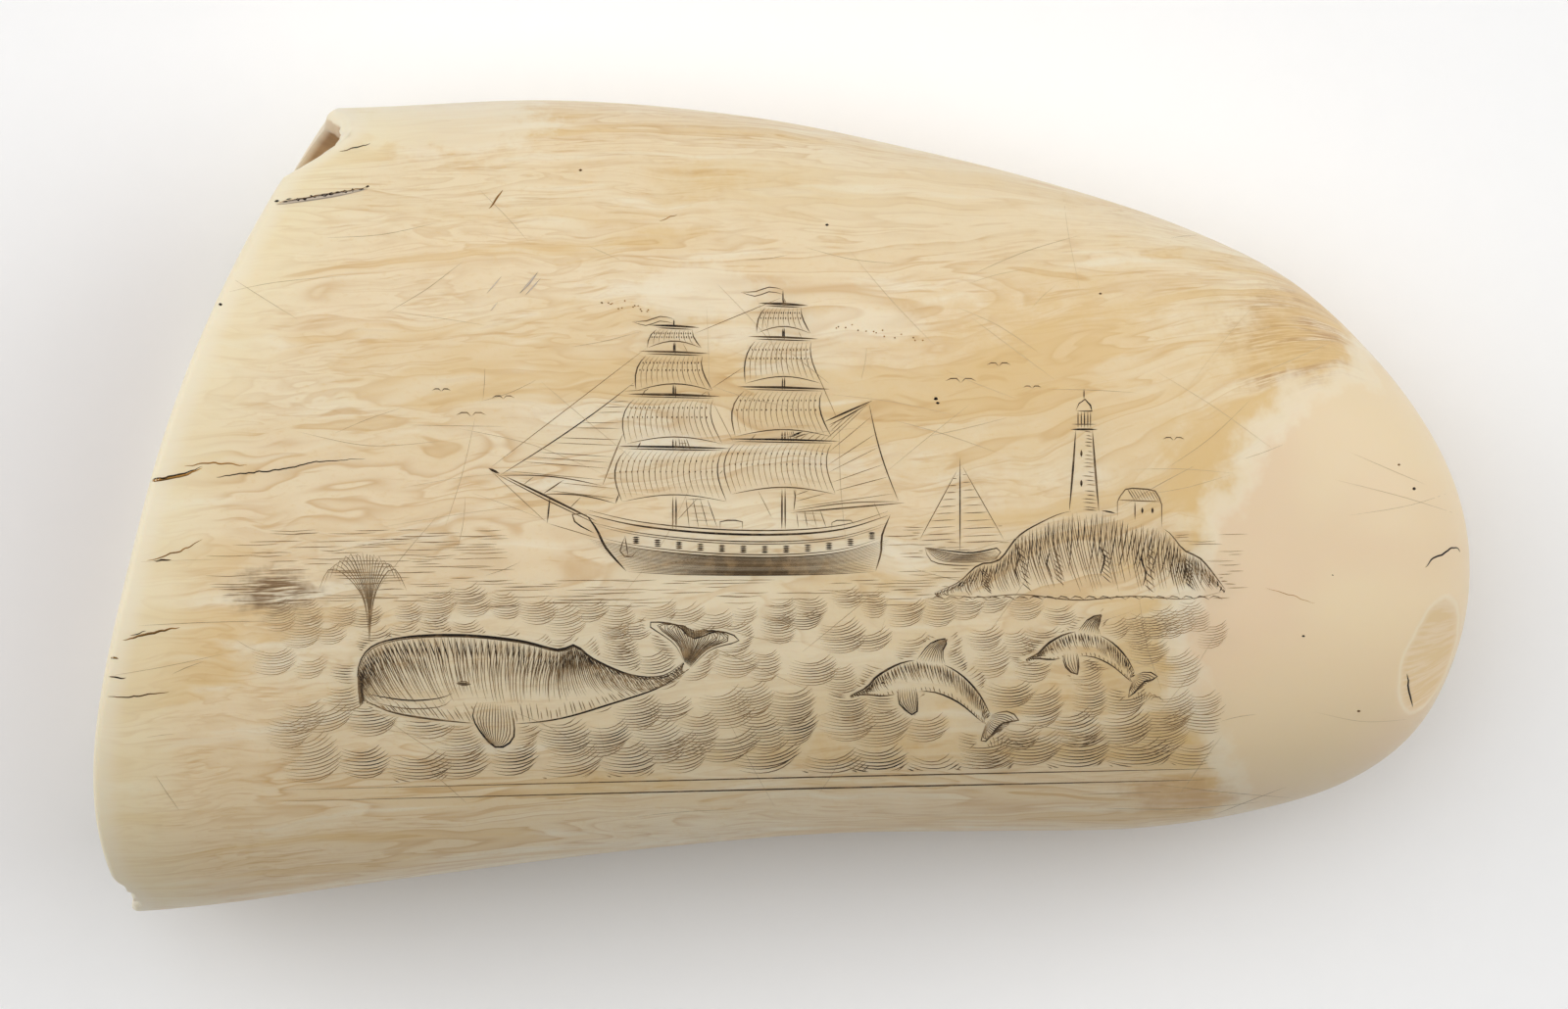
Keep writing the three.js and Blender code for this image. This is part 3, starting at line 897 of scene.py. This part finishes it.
# Two jibs before the fore mast, and the spanker between its gaff and its boom.
fore_and_aft_sail([(-13.4, 15.8), (-31.0, 3.2), (-20.0, 2.1)], 0.45, 16)
fore_and_aft_sail([(-13.2, 11.6), (-26.4, 1.2), (-18.6, 0.2)], 0.4, 13)
fore_and_aft_sail([(0.3, 7.2), (0.5, -0.6), (11.8, 0.4), (8.6, 11.0)], 0.35, 13)
cut(brig, [(0.0, 7.3), (9.0, 11.3)], 0.2, 1.0)
cut(brig, [(0.0, -0.8), (12.6, 0.3)], 0.2, 1.0)

# Masts with their shrouds and ratlines, a backstay and a streamer each.
for mast, x in mast_feet.items():
    top = mast_tops[mast]
    cut(brig, [(x - 0.17, -2.6), (x - 0.14, 8.0), (x - 0.05, top)], 0.17, 1.0)
    cut(brig, [(x + 0.19, -2.6), (x + 0.16, 8.0), (x + 0.05, top - 1)], 0.15, 0.9)
    for spread in (1.6, 2.6, 3.6, 4.6):
        cut(brig, [(x + 0.1, 10.6), (x + spread, -2.4)], 0.08, 0.75)
    for y in np.arange(-1.6, 8.6, 0.75):
        share = (10.6 - y) / 13.0
        cut(brig, [(x + 1.6 * share, y), (x + 4.6 * share, y)], 0.06, 0.6)
    cut(brig, [(x, top - 0.8), (x + 10.5, -1.4)], 0.06, 0.45)
    for wave in (0.0, 0.5):
        streamer = curve((x, top - wave), (x - 1.5, top + 0.3 - wave), (x - 3.0, top - 0.2 - wave),
                         (x - 4.6, top - 0.25))
        cut(brig, streamer, 0.1, 0.8)

# The bowsprit and the stays.
cut(brig, [(-20.6, -1.7), (-26, 1.0), (-32.2, 4.0)], 0.28, 1.0)
cut(brig, [(-20.2, -2.2), (-26, 0.6), (-31.6, 3.5)], 0.14, 0.9)
cut(brig, [(-25.6, 1.0), (-25.9, -1.9)], 0.16, 0.95)
for stay in ([(-12.3, 19.2), (-32.0, 4.0)], [(-12.4, 14.6), (-28.6, 2.1)], [(-12.3, 10.8), (-23.6, -0.4)],
             [(-0.7, 22.4), (-12.2, 17.6)], [(-0.7, 17.6), (-12.2, 10.0)], [(-0.7, 10.8), (-12.0, -1.6)],
             [(-32.0, 3.8), (-25.9, -1.9)], [(-25.9, -1.9), (-20.2, -3.6)]):
    cut(brig, stay, 0.07, 0.55)

# The hull, with a band of ports, a plain scroll at the bow, an anchor and two deck houses.
hull = np.concatenate([rail, stern[::-1], water_line[::-1], bow[::-1]])
cut(brig, rail, 0.24, 1.0)
cut(brig, rail + [0, 0.45], 0.12, 0.9)
cut(brig, bow, 0.22, 1.0)
cut(brig, stern, 0.22, 1.0)
cut(brig, water_line, 0.14, 0.8)
for drop, width in ((0.75, 0.12), (1.0, 0.1), (2.15, 0.12), (2.45, 0.16)):
    cut(brig, rail - [0, drop], width, 0.9, hull)
stripes(brig, rail - [0, 2.6], water_line, 0.34, 0.0, 1.0, width=0.1, tone=0.7)
for x in np.arange(-16.4, 9.0, 2.3):
    y = float(np.interp(x, rail[:, 0], rail[:, 1])) - 1.58
    for row in np.linspace(-0.3, 0.3, 4):
        cut(brig, [(x - 0.4, y + row), (x, y + row), (x + 0.4, y + row)], 0.17, 1.0)
cut(brig, curve((-21.6, -1.0), (-23.2, -0.9), (-22.8, -1.9), (-20.8, -3.0)), 0.14, 0.9)
cut(brig, curve((-17.6, -3.4), (-18.1, -5.0), (-17.1, -5.6), (-16.3, -4.9)), 0.14, 0.9)
cut(brig, [(-17.6, -3.2), (-17.25, -5.5)], 0.12, 0.9)
cover(hull)
for x in (-7.4, 4.6):
    cut(brig, [(x, -2.6), (x, -1.6), (x + 2.4, -1.6), (x + 2.4, -2.6)], 0.12, 0.8)


# The headland and its lighthouse
# A low rocky hill at the right, shaded down its slopes, with a round tower and a small cottage on it.
headland = []
tower_left = curve((30.2, -0.6), (30.6, 4), (30.9, 8.2))
tower_right = curve((33.4, -0.7), (33.0, 4), (32.7, 8.2))
cut(headland, tower_left, 0.18, 1.0)
cut(headland, tower_right, 0.2, 1.0)
rungs(headland, tower_right, tower_left, 0.42, 0.62, bulge=-0.12, ragged=0.3, width=0.09, tone=0.7)
for y in (2.0, 5.2):
    cut(headland, [(31.5, y), (31.5, y + 0.8)], 0.26, 1.0)
cut(headland, [(30.3, 8.2), (33.3, 8.2)], 0.24, 1.0)
cut(headland, [(30.4, 8.75), (33.2, 8.75)], 0.12, 0.9)
for x in (31.15, 31.5, 31.85, 32.2, 32.5):
    cut(headland, [(x, 8.3), (x, 10.2)], 0.12, 0.9)
cap = curve((30.9, 10.2), (31.2, 10.9), (31.8, 11.5), (32.4, 10.9), (32.8, 10.2), (30.9, 10.2))
cut(headland, cap, 0.16, 1.0)
cut(headland, [(31.8, 11.4), (31.8, 12.6)], 0.12, 1.0)
cover(tower_left, tower_right[::-1])
cottage = np.array([(35.4, -1.3), (35.4, 0.6), (36.4, 1.9), (39.4, 1.7), (40.2, 0.4), (40.2, -2.4)])
gable, corner_foot = (37.3, 0.5), (37.3, -1.6)
for line in (cottage, cottage[[1, 4]], cottage[[2, 1]], [gable, (36.4, 1.9)], [gable, corner_foot]):
    cut(headland, line, 0.14, 0.9)
for x in (38.1, 39.2):
    cut(headland, [(x, -0.9), (x, -0.2)], 0.24, 1.0)
for share in np.linspace(0.1, 0.9, 8):
    cut(headland, [mix(cottage[2], cottage[3], share), mix(np.array(gable), cottage[4], share)], 0.07, 0.6)
cover(cottage)
hill = curve((15.6, -9.4), (18.2, -8.3), (20.4, -6.4), (22.6, -5.9), (24.6, -3.4), (27, -1.9), (30, -0.7),
             (34, -0.6), (37.4, -1.6), (40.6, -2.6), (42.6, -4.8), (44.6, -5.9), (47.2, -9.2))
shore = curve((15.6, -9.4), (20, -9.9), (25, -9.6), (31, -10.2), (37, -9.8), (43, -10.1), (47.2, -9.2))
for crag in ([(20.4, -6.6), (21.0, -7.6), (20.6, -8.8)],
             [(24.2, -3.9), (24.9, -5.4), (24.3, -6.9), (24.9, -8.6)],
             [(28.2, -4.6), (27.7, -6.2), (28.4, -7.9)],
             [(33.4, -4.2), (34.1, -5.7), (33.5, -7.7)],
             [(38.4, -4.0), (37.9, -5.8), (38.6, -7.4), (38.1, -8.8)],
             [(42.4, -5.4), (42.9, -6.8), (42.5, -8.4)]):
    cut(headland, crag, 0.2, 1.0)
    for share in np.linspace(0.1, 0.95, 7):
        foot = np.array(crag[0]) * (1 - share) + np.array(crag[-1]) * share
        cut(headland, [foot + [0.15, 0.1], foot + [1.3, -0.9]], 0.1, 0.85)
for x in np.arange(16.2, 47.0, 1.5):
    cut(headland, curve((x - 0.9, -10.1), (x - 0.2, -9.75), (x + 0.7, -10.2)), 0.12, 0.8)
cut(headland, hill, 0.2, 1.0)
cut(headland, shore, 0.12, 0.7)
rungs(headland, hill, shore, 0.27, 0.95, lean=0.04, bulge=-0.35, ragged=0.4, width=0.09, tone=0.6)
rungs(headland, hill, shore, 0.5, 0.7, lean=-0.05, bulge=0.3, ragged=0.4, width=0.12, tone=0.95)
cover(hill, shore[::-1])


# A distant sloop and gulls
# Small light cuts: a one-masted boat between the brig and the headland, and birds over the sea.
distance = []
SLOOP_PLACE = np.array([18.4, -5.2])
sloop_hull = curve((-3.8, 0.7), (-2.6, -1.0), (2.8, -1.1), (4.4, 0.6), (1, 0.1), (-3.8, 0.7)) + SLOOP_PLACE
cut(distance, sloop_hull, 0.15, 0.95)
stripes(distance, *two_sides(sloop_hull), 0.3, 0.2, 0.8, width=0.09, tone=0.7)
cut(distance, np.array([(0, 0.2), (0, 10.4)]) + SLOOP_PLACE, 0.16, 1.0)
cover(sloop_hull)
for sail in ([(0.2, 9.5), (4.8, 1.4), (0.2, 1.2)], [(-0.3, 9.0), (-4.4, 1.4), (-0.5, 1.6)]):
    head, clew, tack = np.array(sail) + SLOOP_PLACE
    cut(distance, [head, clew], 0.1, 0.8)
    cut(distance, [clew, tack], 0.1, 0.8)
    for share in np.linspace(0.12, 0.92, 9):
        cut(distance, [mix(head, clew, share), mix(head, tack, share)], 0.08, 0.55)
    cover(np.array([head, clew, tack, head]))
for x, y, span in ((-34, 9.5, 1.6), (-30.6, 11.4, 1.2), (-37.2, 12.2, 1.0), (18.5, 13.2, 1.7),
                   (22.6, 15.0, 1.3), (26.2, 12.6, 1.0), (41.5, 7.0, 1.2)):
    for side in (-1, 1):
        wing = [(x, y), (x + side * span * 0.4, y + 0.34 * span), (x + side * span, y + 0.1 * span)]
        cut(distance, curve(*wing), 0.12, 0.85)


# The border
# Two long plain cuts under the picture, which follow the concave edge of the tooth.
border = []
for drop, width in ((0.0, 0.13), (1.25, 0.18)):
    line = curve((-55.4 + drop / 2, -30.6 - drop), (-20, -29.9 - drop), (15, -29.2 - drop),
                 (46.6 - drop, -28.6 - drop))
    cut(border, line, width, 0.95, heavy=0.6)


# The sea
# Rows of traditional wave hatching: bundles of close curved cuts, light and small far away, darker and
# larger near the border. Fine level cuts shade the far water. Each row of waves has a height in the
# picture, a length of its waves, a step between their cuts, and a tone.
sea = []
SEA_OUTLINE = np.array([(-60, -2), (50, -2), (48, -20), (45.6, -28.2), (15, -28.8), (-20, -29.4),
                        (-55.4, -30.1)])
WAVE_ROWS = [(-10.6, 3.5, 0.27, 0.5), (-13.4, 3.8, 0.28, 0.62), (-16.5, 4.2, 0.29, 0.72),
             (-19.8, 4.6, 0.31, 0.8), (-23.2, 5.2, 0.33, 0.9), (-26.6, 5.8, 0.35, 1.0)]


def wave(x, y, span, spacing, tone):
    """A bundle of sagging cuts, one under another: narrow at the top, widest low down, and each drawn
    from thin at its left end to heavy at its right end, where it turns up."""
    count = hand.integers(7, 14)
    drift = hand.uniform(-0.06, 0.12)
    slope = hand.uniform(-0.02, 0.07) * span
    tone = tone * hand.uniform(0.6, 1.08)
    along = np.linspace(-1, 1, 9)
    for k in range(count):
        low = (k + 0.5) / count
        reach = span / 2 * (0.5 + 0.55 * np.sin(np.pi * (0.1 + 0.72 * low))) * hand.uniform(0.9, 1.06)
        sag = 0.1 * span * along**2 + 0.08 * span * np.maximum(along, 0) ** 3 + slope * along
        height = y - spacing * k + sag + hand.uniform(-0.05, 0.05)
        row = np.column_stack([x + drift * k + reach * along, height])
        darker = tone * (0.55 + 0.45 * np.sin(np.pi * low))
        cut(sea, row, 0.06 + 0.07 * darker, darker, inside=SEA_OUTLINE, halo=0.3, heavy=0.68)


for number, (y, span, spacing, tone) in enumerate(WAVE_ROWS):
    for x in np.arange(-54.5 + (number % 2) * span / 2, 46, span * 0.96):
        fade = np.clip((50 - abs(x + 4)) / 8, 0.45, 1.0)
        swell = 0.8 * np.sin(x / 7.3 + 1.9 * number) + 0.7 * np.sin(x / 3.1 + number)
        swell += hand.uniform(-0.5, 0.5)
        wave(x + hand.uniform(-0.9, 0.9), y + swell, span * hand.uniform(0.85, 1.35), spacing, tone * fade)


def level_cuts(x_range, y_range, spacing, span, tone):
    """Fine level cuts at random places along each row, for far water and a hazy horizon."""
    for y in np.arange(*y_range, spacing):
        for _ in range(int((x_range[1] - x_range[0]) / span)):
            x = hand.uniform(*x_range)
            reach = span * hand.uniform(0.4, 1.0)
            line = [(x - reach / 2, y), (x, y + hand.uniform(-0.1, 0.1)), (x + reach / 2, y + 0.02 * reach)]
            cut(sea, line, 0.07, tone * hand.uniform(0.6, 1.1), halo=0.15)


# At the left, under the brig, beside the sloop, and past the headland.
level_cuts((-60, -31), (-10.5, -2.5), 0.3, 6.0, 0.4)
level_cuts((-33, 14), (-10.8, -8.0), 0.34, 6.0, 0.4)
level_cuts((11, 24), (-10.0, -2.0), 0.32, 6.0, 0.4)
level_cuts((40, 49), (-10.0, -3.0), 0.36, 4.0, 0.3)

pictures = {"engraved_whale": whale, "engraved_dolphins": dolphins, "engraved_brig": brig,
            "engraved_headland": headland, "engraved_sloop_and_gulls": distance, "engraved_sea": sea,
            "engraved_border": border}
for name, cuts in pictures.items():
    grooves(name, cuts, lampblack)

# Lampblack has stayed in the ivory where cuts are close: the count of their points in each square
# millimetre of a field over the whole tooth, evened out over its neighbours.
CUT_FIELD = (160, 100)
FULLY_RUBBED = 6.5
RUBBED_SHARE = 0.12
cut_points = np.concatenate([points for cuts in pictures.values() for points, _, _, _ in cuts])
field = np.floor(cut_points + np.array(CUT_FIELD) / 2).astype(int)
close = np.bincount(field[:, 0] * CUT_FIELD[1] + field[:, 1], minlength=CUT_FIELD[0] * CUT_FIELD[1])
close = close.reshape(CUT_FIELD).astype(float)
for _ in range(3):
    close = (close + sum(np.roll(close, step, axis) for step in (-1, 1) for axis in (0, 1))) / 5
under = np.floor(tooth_points[:, :2] + np.array(CUT_FIELD) / 2).astype(int)
engraved_side = tooth_points[:, 2] > high[2] / 2
rubbed = np.clip(close[under[:, 0], under[:, 1]] / FULLY_RUBBED, 0, 1)
add_attribute(tooth, "rubbed", rubbed * RUBBED_SHARE * engraved_side)


# Cracks and marks of age
# Drying cracks run in along the grain from the sawn rim, and short ones from the tip. Dirt and old oil
# have filled them brown and orange. Single dark pits and hair-fine scratches lie all over, and the
# picture doesn't stop them.
drawn_over.clear()
crack_dirt = pigment("crack_dirt", srgb(196, 142, 72), srgb(36, 28, 24))
scratch_dirt = pigment("scratch_dirt", srgb(205, 184, 148), srgb(120, 96, 70))

# The outline of the engraved side: both edges from the tip, and the rim between them, most of the way
# out on its rounding.
EDGE_POINTS = 120
RIM_POINTS = 240
OUT_ON_ROUNDING = 0.75
edge_stations = 1 - np.linspace(0, 1, EDGE_POINTS) ** 2
convex_side, concave_side = (skin(edge_stations, np.full(EDGE_POINTS, side)) for side in (0.0, np.pi))
rim_side = skin(np.zeros(RIM_POINTS), np.linspace(0, np.pi, RIM_POINTS), 0.0, OUT_ON_ROUNDING * RIM_ROUNDING)
side_outline = np.concatenate([concave_side, rim_side[::-1], convex_side[::-1]])[:, :2] + to_place[:2]


def jagged(points, amount):
    """A line through chosen points, with small steps to and fro across it."""
    line = even(np.array(points, float), 0.45)
    line[1:-1] += hand.normal(0, amount, (len(line) - 2, 2))
    return line


def crack(points, width, tone, amount=0.06, heavy=0.5):
    """One jagged crack, kept to the engraved side."""
    cut(cracks, jagged(points, amount), width, tone, inside=side_outline, heavy=heavy, step=0.3)


cracks = []
long_crack = [(-69.6, 2.4), (-66.6, 2.8), (-64.0, 3.4), (-62.6, 4.0)]
crack(long_crack, 0.42, 0.2, heavy=0.2)
crack(np.array(long_crack) + [0.0, 0.17], 0.15, 1.5, heavy=0.3)
crack([(-64.6, 4.2), (-62.0, 4.6), (-57.8, 4.3)], 0.16, 0.3)
fine_end = [(-61.2, 3.0), (-58.2, 3.4), (-54.5, 3.8), (-51.5, 4.5), (-48.6, 4.8), (-45.2, 5.0)]
crack(fine_end, 0.16, 1.5, heavy=0.35)

# A crack of dark dots by the scallop, then the short cracks.
dotted = [(-55.2, 32.5), (-52.5, 33.0), (-48.8, 33.6), (-45.2, 34.3)]
crack(dotted, 0.12, 0.8)
for share in np.linspace(0.02, 0.97, 14):
    place = mix(np.array(dotted[0]), np.array(dotted[-1]), share) + hand.normal(0, 0.12, 2)
    half_dash = hand.uniform(0.12, 0.42) * np.array([1, 0.17])
    crack([place - half_dash, place + half_dash], hand.uniform(0.12, 0.42), 1.5, 0.03)
for points, width, tone in (
        ([(-48.6, 38.2), (-46.8, 38.7), (-45.2, 39.2)], 0.13, 0.9),
        ([(-68.6, -5.9), (-67.3, -5.6), (-65.0, -4.9), (-62.6, -3.6)], 0.14, 0.7),
        ([(-67.8, -5.9), (-66.6, -5.7), (-65.9, -5.8)], 0.2, 1.2),
        ([(-71.2, -14.4), (-67.5, -13.5), (-65.0, -13.0)], 0.24, 0.8),
        ([(-70.4, -13.9), (-68.6, -13.4)], 0.12, 1.4),
        ([(-72.6, -16.3), (-71.6, -16.4)], 0.2, 0.9),
        ([(-72.8, -18.3), (-70.8, -18.4)], 0.2, 0.9),
        ([(-73.0, -20.4), (-70.6, -20.5), (-68.4, -20.2), (-66.2, -19.9)], 0.16, 1.1),
        ([(73.6, -5.2), (73.0, -4.4), (71.2, -5.4), (70.2, -5.8), (69.3, -6.8)], 0.22, 1.5),
        ([(67.4, -18.3), (67.7, -20.1), (68.2, -22.1)], 0.22, 1.5),
        ([(51.5, -8.9), (57.0, -10.6)], 0.06, 0.3),
        ([(-32.3, 31.9), (-31.6, 32.8), (-30.8, 34.0)], 0.2, 0.5),
        ([(-14.0, 30.6), (-12.0, 31.4)], 0.12, 0.5)):
    crack(points, width, tone)

# Single pits, and two rows of small ones beside the mastheads.
for x, y in ((58.9, -7.6), (55.7, -14.2), (68.1, 1.8), (66.4, 4.4), (15.8, 11.4), (16.0, 11.0),
             (-60.8, 21.5), (-22.5, 36.2), (4.1, 30.3), (33.7, 22.9), (62.0, -22.4)):
    pit = hand.uniform(0.1, 0.24)
    crack([(x - pit, y), (x, y + 0.04), (x + pit, y)], 1.3 * pit, hand.uniform(0.7, 1.5), 0.03)
for first, last in (((-20.3, 21.7), (-14.8, 20.9)), ((4.7, 19.5), (14.2, 17.8))):
    for share in np.linspace(0, 1, 15):
        x, y = mix(np.array(first), np.array(last), share) + hand.normal(0, 0.2, 2)
        crack([(x - 0.1, y), (x, y + 0.03), (x + 0.1, y)], 0.16, hand.uniform(0.3, 0.9), 0.02)
grooves("cracks", cracks, crack_dirt)

scratches = []
for _ in range(110):
    place = np.array([hand.uniform(-68, 68), hand.uniform(-34, 36)])
    turned = hand.normal(0.1, 0.5) if hand.random() < 0.75 else hand.uniform(0, np.pi)
    reach = hand.uniform(1.5, 9.0) * np.array([np.cos(turned), np.sin(turned)])
    bent = np.array([-reach[1], reach[0]]) * hand.normal(0, 0.05)
    line = curve(place - reach, place + bent, place + reach)
    cut(scratches, line, hand.uniform(0.035, 0.065), hand.uniform(0.0, 0.7), inside=side_outline)
grooves("fine_scratches", scratches, scratch_dirt)

# Greyish scrapes: a few short slanting ones at the upper left, and a shade along the dotted crack.
scrapes = []
for line, width in (([(-32.4, 22.7), (-30.8, 24.6)], 0.16),
                    ([(-28.9, 22.7), (-27.9, 23.8), (-26.9, 25.1)], 0.28),
                    ([(-28.3, 22.5), (-26.6, 24.4)], 0.14), ([(-32.0, 20.8), (-31.2, 21.8)], 0.12),
                    (np.array(dotted) + [0.0, -0.2], 0.55)):
    cut(scrapes, line, width, 0.5, inside=side_outline)
grooves("grey_scrapes", scrapes, pigment("grey_scrapes", srgb(222, 205, 178), srgb(182, 168, 162)))


# Floor and studio light
# A plain pale floor, one very large soft light overhead, nearer the convex edge, and a weak one beyond
# each end of the tooth.
FLOOR_SIZE = 4000.0
corners = np.array([[-1, -1, 0], [1, -1, 0], [1, 1, 0], [-1, 1, 0]]) * FLOOR_SIZE / 2
floor = new_mesh("floor", corners, np.array([[0, 1, 2, 3]]))
paper, tree, shader = new_material("pale_paper")
fibre = noise(tree, add_node(tree, "ShaderNodeTexCoord").outputs["Object"], 300.0, 3.0)
paper_colour = mix_colour(tree, fibre, srgb(250, 250, 250), srgb(253, 253, 253))
tree.links.new(paper_colour, shader.inputs["Base Color"])
shader.inputs["Roughness"].default_value = 0.9
floor.data.materials.append(paper)


def softbox(name, place, target, width, height, watts):
    """A soft area light of a size in millimetres, at a place, turned to a target."""
    lamp = bpy.data.lights.new(name, "AREA")
    lamp.shape = "RECTANGLE"
    lamp.size, lamp.size_y = width * MM, height * MM
    lamp.energy = watts
    box = bpy.data.objects.new(name, lamp)
    box.location = np.array(place) * MM
    box.rotation_euler = Vector(np.array(target) - np.array(place)).to_track_quat("-Z", "Y").to_euler()
    scene.collection.objects.link(box)


softbox("overhead_light", (0, 500, 1400), (0, 500, 0), 3000, 1900, 27.0)
softbox("tip_fill", (1100, 350, 500), (60, 0, 20), 900, 900, 5.5)
softbox("root_fill", (-1100, 350, 500), (-60, 0, 20), 900, 900, 5.5)
world = bpy.data.worlds.new("studio")
scene.world = world
world.use_nodes = True
world.node_tree.nodes["Background"].inputs["Color"].default_value = (1, 1, 1, 1)
world.node_tree.nodes["Background"].inputs["Strength"].default_value = 0.06
scene.view_settings.view_transform = "Standard"
